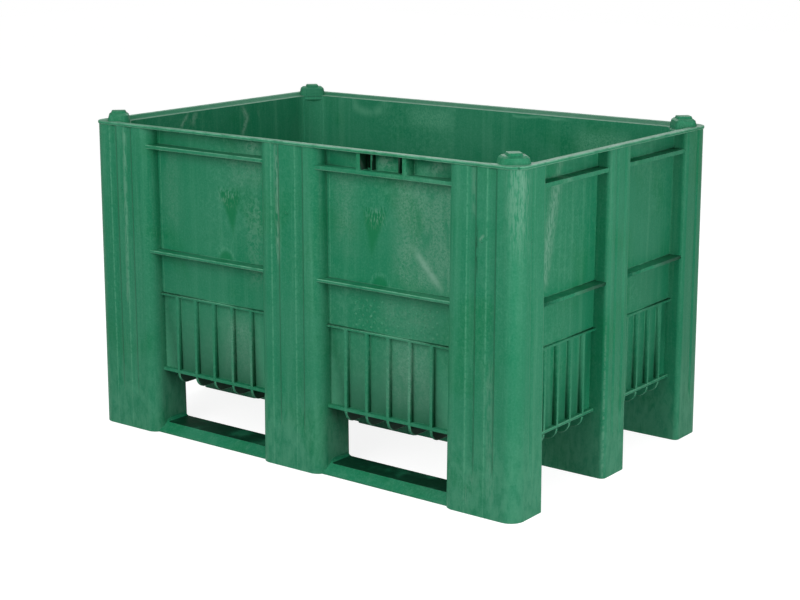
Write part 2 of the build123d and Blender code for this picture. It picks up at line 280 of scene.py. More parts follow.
base_green = srgb(30, 121, 86)
deep_green = srgb(8, 113, 70)
pale_green = srgb(58, 133, 102)
light_green = srgb(88, 158, 126)
# Outer rounded edges: wear and painted sheen
edge_wear_and_sheen_green = srgb(96, 162, 130)
chalk_green = srgb(128, 172, 150)
# Dark green for grime and for painted shade
grime_and_shade_green = srgb(6, 62, 38)
# Painted shade for the pockets by the tie slots, the sides of the ribs under the floor and the rails' tops
painted_shade_dark = srgb(6, 30, 20)
# Painted shade for the plates behind the tie slots
slot_shade_black = srgb(6, 20, 14)
slot_shade_grey = srgb(14, 40, 28)


def add_node(tree, kind, inputs=None, **settings):
    """A new node with its settings, and its inputs set to values or linked to sockets."""
    made = tree.nodes.new(kind)
    for key, value in settings.items():
        setattr(made, key, value)
    for key, value in (inputs or {}).items():
        if isinstance(value, bpy.types.NodeSocket):
            tree.links.new(value, made.inputs[key])
        else:
            made.inputs[key].default_value = value
    return made


def calculate(tree, operation, *values):
    """A math node's result."""
    return add_node(tree, "ShaderNodeMath", dict(enumerate(values)), operation=operation).outputs[0]


def product(tree, first, *others):
    """Shares and amounts multiplied together."""
    for other in others:
        first = calculate(tree, "MULTIPLY", first, other)
    return first


def magnitude(tree, value):
    """A value without its sign."""
    return calculate(tree, "ABSOLUTE", value)


def off_centre(tree, value, centre):
    """How far a value is from a centre."""
    return magnitude(tree, calculate(tree, "SUBTRACT", value, centre))


def diagonal(tree, across, along):
    """The length of a diagonal, from its reach along two axes."""
    squares = calculate(tree, "ADD", product(tree, across, across), product(tree, along, along))
    return calculate(tree, "SQRT", squares)


def ramp(tree, value, start, end):
    """A smooth step from 0 at start to 1 at end."""
    made = add_node(
        tree,
        "ShaderNodeMapRange",
        {"Value": value, "From Min": start, "From Max": end},
        interpolation_type="SMOOTHSTEP",
    )
    return made.outputs[0]


def close_to(tree, value, centre, half):
    """1 at a centre, falling smoothly to 0 at half a width from it."""
    return ramp(tree, off_centre(tree, value, centre), half, 0.0)


def within(tree, value, low, high, fade):
    """1 between two values, fading to 0 around them."""
    rise = ramp(tree, value, low - fade, low + fade)
    return product(tree, rise, ramp(tree, value, high + fade, high - fade))


def patch(tree, across, along, low, high, fade):
    """A soft-edged rectangle between two corners, in the plane of two coordinates."""
    sides = within(tree, across, low[0], high[0], fade[0])
    return product(tree, sides, within(tree, along, low[1], high[1], fade[1]))


def spot(tree, across, along, centre, half):
    """A soft spot round a centre, in the plane of two coordinates."""
    sides = close_to(tree, across, centre[0], half[0])
    return product(tree, sides, close_to(tree, along, centre[1], half[1]))


def stroke(tree, across, along, start, end, half, fade=0.02):
    """A soft straight stroke between two points, in the plane of two coordinates."""
    run = (end[0] - start[0], end[1] - start[1])
    length = hypot(*run)
    ahead = (run[0] / length, run[1] / length)
    side = calculate(tree, "SUBTRACT", across, start[0])
    rise = calculate(tree, "SUBTRACT", along, start[1])
    travel = calculate(tree, "ADD", product(tree, side, ahead[0]), product(tree, rise, ahead[1]))
    off = calculate(tree, "SUBTRACT", product(tree, side, ahead[1]), product(tree, rise, ahead[0]))
    return product(tree, close_to(tree, off, 0.0, half), within(tree, travel, 0.0, length, fade))


def noise(tree, place, scale=1.0, detail=4.0, roughness=0.55, distortion=0.0):
    """Cloudy noise, from about 0.3 to 0.7."""
    inputs = {"Vector": place, "Scale": scale, "Detail": detail, "Roughness": roughness}
    inputs["Distortion"] = distortion
    return add_node(tree, "ShaderNodeTexNoise", inputs).outputs[0]


def stretched(tree, place, scale):
    """Coordinates scaled along each axis."""
    return add_node(tree, "ShaderNodeMapping", {"Vector": place, "Scale": scale}).outputs[0]


def axes(tree, place):
    """The X, Y and Z of a place, as separate values."""
    return add_node(tree, "ShaderNodeSeparateXYZ", {0: place}).outputs


def facing(tree):
    """The X, Y and Z of the direction that the surface faces."""
    return axes(tree, add_node(tree, "ShaderNodeNewGeometry").outputs["Normal"])


def marked(tree, name):
    """Where the mesh itself is marked, as its rounded edges are."""
    return add_node(tree, "ShaderNodeAttribute", attribute_name=name).outputs["Fac"]


def mix(tree, share, low, high):
    """A blend of two colours."""
    return add_node(tree, "ShaderNodeMix", {0: share, 6: low, 7: high}, data_type="RGBA").outputs[2]


def tint(tree, colour, paint, *shares, strength=1.0):
    """A colour with paint over it, by a strength and by shares that are multiplied together."""
    share = product(tree, *shares)
    if strength != 1.0:
        share = product(tree, share, strength)
    return mix(tree, share, colour, paint)


def bump(tree, height, strength, depth, over=None):
    """The surface's direction, tilted by a height, over another tilt if there is one."""
    inputs = {"Height": height, "Strength": strength, "Distance": depth}
    if over is not None:
        inputs["Normal"] = over
    return add_node(tree, "ShaderNodeBump", inputs).outputs[0]


def new_material(name, gloss):
    """A new material with an even gloss: it, its nodes, its shader and Object coordinates."""
    material = bpy.data.materials.new(name)
    material.use_nodes = True
    tree = material.node_tree
    shader = tree.nodes["Principled BSDF"]
    shader.inputs["Specular IOR Level"].default_value = gloss
    place = add_node(tree, "ShaderNodeTexCoord").outputs["Object"]
    return material, tree, shader, place


def moulded_plastic(
    name, haze=0.55, streaks=0.25, mottle=0.25, edges=0.75, top_darkening=0.0, chalk=0.0, gloss=0.18, marks=None
):
    """Scuffed structural-foam plastic.

    Its layers, from the lowest up, are hazy clouds, deep patches, a leathery mottle, upright flow streaks and
    fibres, fine grain, the marks of one kind of piece, darker upper faces, wear and painted sheen on outer
    rounded edges, painted highlights along inner corners, and chalk on level faces.
    """
    material, tree, shader, place = new_material(name, gloss)

    clouds = noise(tree, place, scale=4.5, detail=5.0, roughness=0.6, distortion=0.6)
    colour = tint(tree, base_green, pale_green, ramp(tree, clouds, start=0.34, end=0.68), strength=haze)
    deep = noise(tree, place, scale=7.0, detail=3.0, roughness=0.5, distortion=0.4)
    colour = tint(tree, colour, deep_green, ramp(tree, deep, start=0.5, end=0.72), strength=0.5)
    leather = noise(tree, place, scale=95.0, roughness=0.6, distortion=0.8)
    leather_zone = ramp(tree, noise(tree, place, scale=3.2, detail=2.0), start=0.42, end=0.62)
    leathery = ramp(tree, leather, start=0.42, end=0.7)
    colour = tint(tree, colour, light_green, leathery, leather_zone, strength=mottle)
    flow = noise(tree, stretched(tree, place, flow_stretch))
    colour = tint(tree, colour, light_green, ramp(tree, flow, start=0.48, end=0.74), strength=streaks)
    fibres = noise(tree, stretched(tree, place, fibre_stretch), detail=3.0, roughness=0.6)
    colour = tint(tree, colour, light_green, ramp(tree, fibres, start=0.5, end=0.75), strength=streaks / 2)
    grain = noise(tree, place, scale=230.0, detail=2.0, roughness=0.7)
    colour = tint(tree, colour, light_green, ramp(tree, grain, start=0.48, end=0.75), strength=0.18)
    colour = tint(tree, colour, deep_green, ramp(tree, grain, start=0.5, end=0.25), strength=0.25)
    if marks:
        colour = marks(tree, place, colour, leather)
    # Upper faces darker
    if top_darkening:
        upper = ramp(tree, facing(tree)["Z"], start=0.1, end=0.25)
        colour = tint(tree, colour, grime_and_shade_green, upper, strength=top_darkening)
    patchy = ramp(tree, noise(tree, place, scale=40.0), start=0.25, end=0.6)
    # Outer rounds: wear, and painted sheen where the edges catch the light
    colour = tint(tree, colour, edge_wear_and_sheen_green, marked(tree, "wear_and_sheen"), patchy, strength=edges)
    # Inner rounds: painted highlight
    colour = tint(tree, colour, light_green, marked(tree, "highlight_line"), patchy, strength=0.4)
    if chalk:
        level = ramp(tree, facing(tree)["Z"], start=0.985, end=0.997)
        crumbly = ramp(tree, noise(tree, place, scale=70.0, detail=5.0, roughness=0.7), start=0.2, end=0.6)
        colour = tint(tree, colour, chalk_green, level, crumbly, strength=chalk)
    tree.links.new(colour, shader.inputs["Base Color"])

    cloud_range = {"Value": clouds, "From Min": 0.3, "From Max": 0.7, "To Min": 0.45, "To Max": 0.6}
    rough = add_node(tree, "ShaderNodeMapRange", cloud_range).outputs[0]
    tree.links.new(rough, shader.inputs["Roughness"])

    pores = noise(tree, place, scale=420.0, detail=3.0, roughness=0.6)
    swell = noise(tree, place, scale=16.0, detail=2.0)
    porous = bump(tree, pores, strength=0.2, depth=0.4 * mm)
    wavy = bump(tree, leather, strength=0.25, depth=1.5 * mm, over=porous)
    sunk = bump(tree, swell, strength=0.3, depth=4 * mm, over=wavy)
    tree.links.new(sunk, shader.inputs["Normal"])
    return material


def painted_shade_backing(name):
    """Painted shade, near black and a little uneven, for the plates behind the tie slots."""
    material, tree, shader, place = new_material(name, gloss=0.1)
    shader.inputs["Roughness"].default_value = 0.8
    dusty = ramp(tree, noise(tree, place, scale=160.0), start=0.4, end=0.7)
    tree.links.new(mix(tree, dusty, slot_shade_black, slot_shade_grey), shader.inputs["Base Color"])
    return material


def gate_marks(tree, place, colour, skin):
    """The gate's wedge of deep green with pale flecks at its ragged top, and the small arch below it."""
    x, _, z = axes(tree, place)
    flecks = noise(tree, stretched(tree, place, fleck_stretch))
    mirrored = off_centre(tree, x, panel_mirror)
    climb = calculate(tree, "SUBTRACT", z, wedge_tip)
    middle = calculate(tree, "ADD", product(tree, climb, wedge_lean), wedge_place)
    off = calculate(tree, "SUBTRACT", mirrored, middle)
    inside = calculate(tree, "SUBTRACT", product(tree, climb, wedge_slope), magnitude(tree, off))
    ragged = calculate(tree, "ADD", z, product(tree, flecks, ragged_reach))
    top = ramp(tree, ragged, wedge_top + ragged_lift[0], wedge_top + ragged_lift[1])
    colour = tint(tree, colour, deep_green, ramp(tree, inside, *wedge_soft), top, skin, strength=0.85)
    burst = spot(tree, off, z, burst_place, burst_half)
    bright = ramp(tree, flecks, start=0.46, end=0.64)
    colour = tint(tree, colour, chalk_green, bright, burst, skin, strength=0.4)

    rise = calculate(tree, "SUBTRACT", z, arch_foot)
    reach = diagonal(tree, calculate(tree, "SUBTRACT", mirrored, arch_place), rise)
    above = product(tree, skin, ramp(tree, rise, -mm, mm))
    arch = ramp(tree, reach, arch_radius, arch_radius - arch_soft)
    colour = tint(tree, colour, deep_green, arch, above, strength=0.7)
    outline = close_to(tree, reach, arch_radius, arch_line)
    broken = ramp(tree, flecks, start=0.4, end=0.6)
    return tint(tree, colour, light_green, outline, above, broken, strength=0.4)


def front_scuffs(tree, place, colour, leather, front, drift, scuffed):
    """A diagonal scuff, a mottled strip, blotches under the rim, leathery patches and a painted sheen on the
    front panels.
    """
    x, _, z = axes(tree, place)
    speckle = ramp(tree, leather, start=0.36, end=0.6)
    scuff = stroke(tree, x, z, *panel_scuff)
    rubbed = ramp(tree, leather, start=0.2, end=0.5)
    colour = tint(tree, colour, chalk_green, scuff, rubbed, front, strength=0.7)
    strip = patch(tree, x, z, *mottled_strip, strip_fade)
    colour = tint(tree, colour, chalk_green, strip, speckle, front, strength=0.18)
    for centre in blotches:
        blotch = spot(tree, x, z, centre, blotch_half)
        colour = tint(tree, colour, chalk_green, blotch, speckle, front, strength=0.45)
    cloudy = ramp(tree, drift, start=0.2, end=0.6)
    rough = ramp(tree, scuffed, start=0.25, end=0.7)
    for low, high, strength in pale_patches_and_sheen:
        pale = patch(tree, x, z, low, high, patch_fade)
        colour = tint(tree, colour, chalk_green, pale, front, cloudy, rough, strength=strength)
    return colour


def slot_painted_shade(tree, place, colour):
    """Painted shade on the flanks beside the tie slots, darkest on faces turned to +X."""
    x, y, z = axes(tree, place)
    pocket = product(tree, within(tree, z, *slot_rows, mm), ramp(tree, y, *slot_depths))
    rightward = ramp(tree, facing(tree)["X"], start=0.3, end=0.7)
    flanks = product(tree, within(tree, x, *shaded_slot_flanks, mm), rightward)
    shaded_parts = calculate(tree, "MAXIMUM", flanks, within(tree, x, *shaded_slot_wall, mm))
    return tint(tree, colour, painted_shade_dark, pocket, shaded_parts, strength=0.9)


def rear_painted_reflections(tree, place, colour, rear, drift, scuffed):
    """Painted reflections on the inside of the rear wall: a pale ring on a bowl-shaped dent, pale patches and a
    pale wavy crease.
    """
    x, _, z = axes(tree, place)
    side = product(tree, off_centre(tree, x, bowl_middle[0]), 1 / bowl_half[0])
    drop = product(tree, off_centre(tree, z, bowl_middle[1]), 1 / bowl_half[1])
    bowl = close_to(tree, diagonal(tree, side, drop), 1.0, bowl_line)
    colour = tint(tree, colour, light_green, bowl, rear, ramp(tree, drift, start=0.35, end=0.6), strength=0.6)
    rough = ramp(tree, scuffed, start=0.25, end=0.7)
    for low, high in rear_sheen_patches:
        pale = patch(tree, x, z, low, high, rear_sheen_fade)
        colour = tint(tree, colour, light_green, pale, rear, rough, strength=0.85)
    wave = product(tree, noise(tree, stretched(tree, place, crease_stretch), detail=2.0), crease_wave)
    crease = close_to(tree, calculate(tree, "ADD", z, wave), crease_height, crease_half)
    ends = within(tree, x, *crease_range, crease_fade)
    return tint(tree, colour, light_green, crease, ends, rear, strength=0.6)


def long_panel_marks(tree, place, colour, leather):
    """Marks outside and inside the long panels, painted light on the backs of the ribbed bands, and painted
    highlights by the posts.
    """
    x, y, z = axes(tree, place)
    depth = magnitude(tree, y)
    skin = ramp(tree, depth, long_skin - skin_blur, long_skin + skin_blur)
    front = product(tree, skin, ramp(tree, y, middle_blur, -middle_blur))
    inner = ramp(tree, depth, long_skin + skin_blur, long_skin - skin_blur)
    rear = product(tree, ramp(tree, y, -middle_blur, middle_blur), inner)
    drift = noise(tree, stretched(tree, place, drift_stretch), detail=5.0, roughness=0.6, distortion=0.8)
    scuffed = noise(tree, place, scale=240.0, roughness=0.7, distortion=0.6)

    colour = gate_marks(tree, place, colour, skin)
    colour = front_scuffs(tree, place, colour, leather, front, drift, scuffed)
    # Painted light that lifts the shade on the ribbed band's back wall towards the floor
    back = close_to(tree, depth, long_wall - band_step, mm)
    below = ramp(tree, z, band_under + mm, band_under - 3 * mm)
    colour = tint(tree, colour, light_green, back, below, ramp(tree, z, *band_painted_light), strength=0.55)
    colour = slot_painted_shade(tree, place, colour)
    # Painted highlights along the panel's sides by the posts
    for side in panel_sides:
        highlight_line = close_to(tree, magnitude(tree, x), side, panel_highlight)
        broken = ramp(tree, leather, start=0.3, end=0.55)
        colour = tint(tree, colour, light_green, highlight_line, skin, broken, strength=0.45)
    return rear_painted_reflections(tree, place, colour, rear, drift, scuffed)


def short_panel_marks(tree, place, colour, leather):
    """Pale scuffs on the right side's panels, and wisps inside the left wall."""
    x, y, z = axes(tree, place)
    right = ramp(tree, x, short_skin - skin_blur, short_skin + skin_blur)
    fibres = noise(tree, stretched(tree, place, panel_fibre_stretch), roughness=0.65, distortion=0.5)
    ragged = ramp(tree, fibres, start=0.3, end=0.65)
    for start, end, half, strength in right_scuffs:
        scuff = stroke(tree, y, z, start, end, half)
        colour = tint(tree, colour, chalk_green, scuff, ragged, right, strength=strength)
    inner = ramp(tree, x, -short_skin - skin_blur, -short_skin + skin_blur)
    left = product(tree, ramp(tree, x, -middle_blur, -2 * middle_blur), inner)
    speckle = ramp(tree, leather, start=0.3, end=0.6)
    for start, end, half, strength in left_wisps:
        wisp = stroke(tree, y, z, start, end, half)
        colour = tint(tree, colour, chalk_green, wisp, speckle, left, strength=strength)
    return colour


def flute_edges(tree, x, z, colour, leather, long_side):
    """Flutes of the long sides' posts, with a painted highlight along one edge and painted shade along the
    other.
    """
    speckle = ramp(tree, leather, start=0.3, end=0.6)
    above = ramp(tree, z, *flute_start)
    for middle in flutes:
        for flute in (-middle, middle):
            # Painted highlight along the flute's left edge
            rubbed = close_to(tree, x, flute + lit_flute_edge[0], lit_flute_edge[1])
            colour = tint(tree, colour, light_green, rubbed, long_side, speckle, strength=0.5)
            # Painted shade along the flute's right edge
            shaded = close_to(tree, x, flute + shaded_flute[0], shaded_flute[1])
            colour = tint(tree, colour, grime_and_shade_green, shaded, long_side, above, strength=0.4)
    return colour


def post_marks(tree, place, colour, leather):
    """Scuffs, painted highlight and shade at the flute edges, marks on the front right post, worn edges with a
    painted highlight on the short sides and dust low down.
    """
    x, y, z = axes(tree, place)
    front = ramp(tree, y, -long_face_start[0], -long_face_start[1])
    fibres = noise(tree, stretched(tree, place, post_fibre_stretch), detail=3.0)
    ragged = ramp(tree, fibres, start=0.36, end=0.6)
    for start, end, half, strength in post_scuffs:
        scuff = stroke(tree, x, z, start, end, half)
        colour = tint(tree, colour, chalk_green, scuff, ragged, front, strength=strength)
    long_side = ramp(tree, magnitude(tree, y), *long_face_start)
    colour = flute_edges(tree, x, z, colour, leather, long_side)

    groove = stroke(tree, x, z, *post_groove)
    colour = tint(tree, colour, grime_and_shade_green, groove, ragged, front, strength=0.7)
    colour = tint(tree, colour, chalk_green, stroke(tree, x, z, *post_slash), front, strength=0.4)
    hazy = [ramp(tree, value, *ends) for value, ends in zip((x, y, z), hazy_corner)]
    colour = tint(tree, colour, chalk_green, *hazy, ragged, strength=0.4)

    outer = ramp(tree, magnitude(tree, x), *short_face_start)
    # Pale edges of the short sides' middle posts: wear, and a painted highlight where the rounded edges catch
    # the light
    edge = close_to(tree, magnitude(tree, y), *worn_lit_edge)
    speckle = ramp(tree, leather, start=0.42, end=0.6)
    colour = tint(tree, colour, chalk_green, edge, outer, speckle, strength=0.45)
    dust = noise(tree, stretched(tree, place, dust_stretch), roughness=0.6, distortion=0.5)
    dusty = ramp(tree, dust, start=0.3, end=0.65)
    return tint(tree, colour, light_green, ramp(tree, z, *dust_range), dusty, strength=0.45)


def underside_painted_shade(tree, place, colour, leather):
    """Painted shade on the upright sides of the ribs below the floor, apart from their fronts."""
    x, y, _ = axes(tree, place)
    direction = facing(tree)
    sideways = magnitude(tree, direction["X"])
    behind = product(tree, magnitude(tree, direction["Y"]), ramp(tree, magnitude(tree, y), *rib_front))
    upright = ramp(tree, calculate(tree, "MAXIMUM", sideways, behind), start=0.5, end=0.8)
    inboard = ramp(tree, magnitude(tree, x), *rib_inboard)
    return tint(tree, colour, painted_shade_dark, upright, inboard, strength=0.8)


def rim_marks(tree, place, colour, leather):
    """A pale line along the foot of the slope into the tub."""
    foot = ramp(tree, axes(tree, place)["Z"], *pale_foot)
    upper = ramp(tree, facing(tree)["Z"], start=0.5, end=0.8)
    return tint(tree, colour, chalk_green, foot, upper, ramp(tree, leather, start=0.2, end=0.5))


def rail_painted_shade(tree, place, colour, leather):
    """Painted shade, uneven, on the rails' upper faces under the box."""
    upper = ramp(tree, facing(tree)["Z"], start=0.85, end=0.95)
    uneven_shade = ramp(tree, noise(tree, place, scale=14.0), start=0.2, end=0.5)
    return tint(tree, colour, painted_shade_dark, upper, uneven_shade, strength=0.8)


def lit_dots(tree, place, colour, leather):
    """Dots painted paler as a painted highlight, some more than others."""
    rubbed = ramp(tree, noise(tree, place, scale=60.0), start=0.3, end=0.6)
    return tint(tree, colour, light_green, rubbed, strength=0.35)


def node_tree_of(name):
    """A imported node's surface as a search tree."""
    mesh = frame["nodes"][name].data
    return BVHTree.FromPolygons([v.co for v in mesh.vertices], [tuple(p.vertices) for p in mesh.polygons])


surfaces = {name: node_tree_of(name) for name in frame["nodes"]}
boxes = {name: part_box(name) for name in frame["nodes"]}


def near(name):
    """Surfaces of the other nodes whose boxes touch this node's box."""
    low, high = boxes[name]
    found = []
    for other, (other_low, other_high) in boxes.items():
        apart = any(
            other_low[axis] > high[axis] + probe_step or other_high[axis] < low[axis] - probe_step
            for axis in range(3)
        )
        if other != name and not apart:
            found.append(surfaces[other])
    return found


def covered(edge, face, neighbours):
    """Whether a face is covered by a neighbouring node somewhere along one of its edges."""
    loop = next(each for each in face.loops if each.edge == edge)
    start = loop.vert.co
    run = loop.link_loop_next.vert.co - start
    inward = face.normal.cross(run).normalized()
    for share in probe_shares:
        probe = start + run * share + inward * probe_step + face.normal * probe_lift
        if any(surface.find_nearest(probe, touch_gap)[0] is not None for surface in neighbours):
            return True
    return False


def free_edges(made, neighbours):
    """Sharp outer edges of a piece, apart from those where it meets another node."""
    found = []
    for edge in made.edges:
        if len(edge.link_faces) != 2 or not edge.is_convex or edge.calc_face_angle() < sharp_angle:
            continue
        if not any(covered(edge, face, neighbours) for face in edge.link_faces):
            found.append(edge)
    return found


def hollow_edges(made):
    """Sharp inner edges of a piece."""
    return [
        edge
        for edge in made.edges
        if len(edge.link_faces) == 2 and not edge.is_convex and edge.calc_face_angle() > sharp_angle
    ]


def whole_faces(name):
    """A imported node's mesh, with its loose triangles merged into whole faces."""
    made = bmesh.new()
    made.from_mesh(frame["nodes"][name].data)
    bmesh.ops.remove_doubles(made, verts=made.verts, dist=weld_gap)
    bmesh.ops.dissolve_limit(made, angle_limit=flat_angle, verts=made.verts, edges=made.edges)
    return made


def stand_upright(point, axis, wall):
    """Move a point of a ribbed band's outer wall to the finished wall's depth."""
    drawn_in = band_draft * (band_top - point.z) / (band_top - band_foot)
    on_wall = abs(abs(point[axis]) - wall + drawn_in) < shape_gap
    if on_wall and point.z < band_under:
        point[axis] = (wall - band_step) * (1 if point[axis] > 0 else -1)


def open_round(point, side, sign):
    """Move a point of an upright edge's round so that the round is larger, about the same corner.

    The edge stands at a distance from the middle, with its post inside that distance for a sign of 1 and
    outside it for -1.
    """
    stand_out = post_lean * (1 - point.z / post_head)
    deep = short_face + stand_out - abs(point.x)
    inside = (side - abs(point.y)) * sign + stand_out
    if all(-shape_gap < depth < packed_round + shape_gap for depth in (deep, inside)):
        point.x -= deep * (round_gain - 1) * (1 if point.x > 0 else -1)
        point.y -= inside * (round_gain - 1) * sign * (1 if point.y > 0 else -1)


def deepen_flute(point):
    """Move a point of a long side's flute further in from the post's face."""
    deep = long_face + post_lean * (1 - point.z / post_head) - abs(point.y)
    in_flute = any(abs(abs(point.x) - middle) < flute_half for middle in flutes)
    if in_flute and shape_gap < deep < packed_flute + shape_gap:
        point.y -= deep * (flute_gain - 1) * (1 if point.y > 0 else -1)


def reshape(name, made):
    """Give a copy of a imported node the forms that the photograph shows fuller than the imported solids."""
    side, kind = name.split("_")[0], name.split("_")[-1]
    for vertex in made.verts:
        if kind == "panel" and side in ("front", "rear"):
            stand_upright(vertex.co, 1, long_wall)
        elif kind == "panel":
            stand_upright(vertex.co, 0, short_wall)
        elif kind in ("post", "foot"):
            open_round(vertex.co, middle_side, 1)
            open_round(vertex.co, corner_side, -1)
            deepen_flute(vertex.co)
    made.normal_update()


def settle(piece, *replaced):
    """Turn a piece's modifiers into plain mesh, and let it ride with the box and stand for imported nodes."""
    graph = bpy.context.evaluated_depsgraph_get()
    piece.data = bpy.data.meshes.new_from_object(piece.evaluated_get(graph))
    piece.modifiers.clear()
    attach(piece, "root")
    if replaced:
        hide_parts(*replaced)


def new_piece(name, made, material):
    """A new object from a bmesh."""
    mesh = bpy.data.meshes.new(name)
    made.to_mesh(mesh)
    made.free()
    mesh.materials.append(material)
    piece = bpy.data.objects.new(name, mesh)
    bpy.context.scene.collection.objects.link(piece)
    return piece


def round_edges(made, edges, width):
    """Round edges off with two strips of faces, and give back those faces."""
    if not edges:
        return []
    rounded = bmesh.ops.bevel(
        made,
        geom=edges,
        offset=width,
        offset_type="OFFSET",
        segments=2,
        profile=0.5,
        affect="EDGES",
        clamp_overlap=True,
    )
    return rounded["faces"]


def refined(name, material, width):
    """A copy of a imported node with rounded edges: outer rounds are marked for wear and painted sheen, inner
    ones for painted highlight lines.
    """
    made = whole_faces(name)
    reshape(name, made)
    highlight_line = made.loops.layers.float.new("highlight_line")
    wear_and_sheen = made.loops.layers.float.new("wear_and_sheen")
    soft = made.faces.layers.int.new("soft")
    for edges, radius, mark in (
        (hollow_edges(made), fillet_round, highlight_line),
        (free_edges(made, near(name)), width, wear_and_sheen),
    ):
        for face in round_edges(made, [edge for edge in edges if edge.is_valid], radius):
            face[soft] = 1
            for loop in face.loops:
                loop[mark] = 1.0
    for face in made.faces:
        face.smooth = True
    for edge in made.edges:
        rounded = any(face[soft] for face in edge.link_faces)
        edge.smooth = rounded or len(edge.link_faces) != 2 or edge.calc_face_angle() < crease_angle
    made.faces.layers.int.remove(soft)
    piece = new_piece(f"finished_{name}", made, material)
    piece.modifiers.new("weighted", "WEIGHTED_NORMAL").keep_sharp = True
    settle(piece, name)


plain_plastic = moulded_plastic("moulded_green")
shadow_black = painted_shade_backing("slot_shade_plate_black")
finishes = {
    "long_panel": moulded_plastic(
        "gated_panel_green", streaks=0.18, mottle=0.32, edges=1.0, marks=long_panel_marks
    ),
    "short_panel": moulded_plastic("streaked_panel_green", streaks=0.3, edges=1.0, marks=short_panel_marks),
    "post": moulded_plastic("scuffed_post_green", streaks=0.3, mottle=0.15, marks=post_marks),
    "rim": moulded_plastic("chalky_rim_green", edges=1.0, top_darkening=0.2, chalk=0.5, marks=rim_marks),
    "far_rim": moulded_plastic(
        "rubbed_rim_green", edges=1.0, top_darkening=0.35, chalk=0.9, gloss=0.03, marks=rim_marks
    ),
    "stud": moulded_plastic("rubbed_stud_green", edges=1.0, top_darkening=0.1, chalk=0.15),
    "dot": moulded_plastic("highlit_dot_green", haze=0.9, mottle=0.9, marks=lit_dots),
    "rail": moulded_plastic("scraped_shaded_rail_green", edges=0.8, marks=rail_painted_shade),
    "ribs": moulded_plastic("shaded_rib_green", marks=underside_painted_shade),
}


def finish_of(name):
    """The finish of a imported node."""
    side, kind = name.split("_")[0], name.split("_")[-1]
    if kind == "panel":
        kind = "long_panel" if side in ("front", "rear") else "short_panel"
    if kind == "foot":
        kind = "post"
    if kind == "rim" and side in ("rear", "left"):
        kind = "far_rim"
    return finishes.get(kind, plain_plastic)


for name in sorted(frame["nodes"]):
    refined(name, finish_of(name), rim_round if name.endswith(("_stud", "_rim")) else edge_round)


def on_surface(name, start, direction):
    """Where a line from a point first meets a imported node, and which way the surface faces there."""
    point, normal, _, _ = surfaces[name].ray_cast(Vector(start), Vector(direction))
    return point, normal


def add_nub(made, point, normal):
    """A small turned gate nub with a dimple, standing on a surface."""
    turn = normal.to_track_quat("Z", "Y").to_matrix().to_4x4()
    placed = Matrix.Translation(point) @ turn
    rings = []
    for radius, height in nub_profile[:-1]:
        ring = []
        for step in range(nub_segments):
            angle = 2 * pi * step / nub_segments
            corner = Vector((radius * cos(angle), radius * sin(angle), height)) * mm
            ring.append(made.verts.new(placed @ corner))
        rings.append(ring)
    middle = made.verts.new(placed @ Vector((0, 0, nub_profile[-1][1] * mm)))
    for low, high in zip(rings, rings[1:]):
        for step in range(nub_segments):
            after = (step + 1) % nub_segments
            made.faces.new((low[step], low[after], high[after], high[step]))
    for step in range(nub_segments):
        made.faces.new((rings[-1][step], rings[-1][(step + 1) % nub_segments], middle))


def make_nubs():
    """Gate nubs on the posts of the long sides, and on the corner posts' faces to the short sides."""
    made = bmesh.new()
    for side, sign in (("front", -1), ("rear", 1)):
        for post, x in nub_places.items():
            add_nub(made, *on_surface(f"{side}_{post}_post", (x, sign, nub_height), (0, -sign, 0)))
        for post, turn in (("left", -1), ("right", 1)):
            start = (turn, sign * end_nub, nub_height)
            add_nub(made, *on_surface(f"{side}_{post}_post", start, (-turn, 0, 0)))
    for face in made.faces:
        face.smooth = True
    settle(new_piece("gate_nubs", made, finishes["post"]))


def make_slot_shade_plates():
    """Dark plates of painted shade that close the tie slots, just behind the panel's outer face."""
    made = bmesh.new()
    for opening in frame["record"]["physics"]["openings"]:
        if opening["name"].endswith("_tie_slot"):
            low, high = (Vector(corner) for corner in opening["box_m"])
            low = Vector((low.x - slot_margin, -slot_front, low.z - slot_margin))
            high = Vector((high.x + slot_margin, -slot_back, high.z + slot_margin))
            size = Matrix.Diagonal(high - low).to_4x4()
            bmesh.ops.create_cube(made, size=1.0, matrix=Matrix.Translation((low + high) / 2) @ size)
    settle(new_piece("slot_shade_plates", made, shadow_black))


